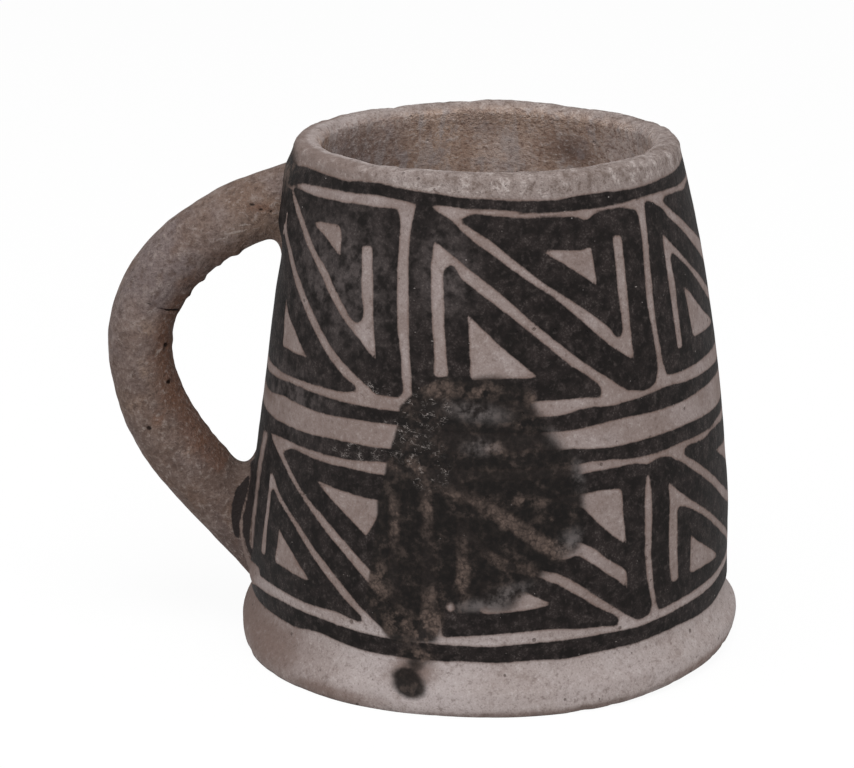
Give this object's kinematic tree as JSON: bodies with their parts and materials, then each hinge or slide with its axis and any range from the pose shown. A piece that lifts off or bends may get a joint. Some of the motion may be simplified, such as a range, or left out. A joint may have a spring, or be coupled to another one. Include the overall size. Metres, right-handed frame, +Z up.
{
  "type": "clay mug",
  "caption": "Hand-built clay mug with a flared foot, a wall that narrows to a rounded lip, one thick rolled handle and painted black bands on pale slip; it stands on its foot and holds a drink.",
  "frame": {"origin": "middle of the foot's underside, on the surface the mug stands on", "axes": "+Z up along the axis of the vessel; the handle points to -X, in the plane Y = 0"},
  "size_m": [0.1384, 0.11, 0.111],
  "materials": {
    "painted_clay": "matt black paint on pale warm-grey slip",
    "bare_clay": "bare fired clay, smoothed by hand"
  },
  "bodies": {
    "root": {"base_disc": "painted_clay", "wall_coil_1": "painted_clay", "wall_coil_2": "painted_clay", "wall_coil_3": "painted_clay", "wall_coil_4": "painted_clay", "wall_coil_5": "painted_clay", "wall_coil_6": "painted_clay", "wall_coil_7": "painted_clay", "rim_coil": "painted_clay", "handle_roll": "bare_clay", "upper_luting": "bare_clay", "lower_luting": "bare_clay"}
  },
  "joints": []
}
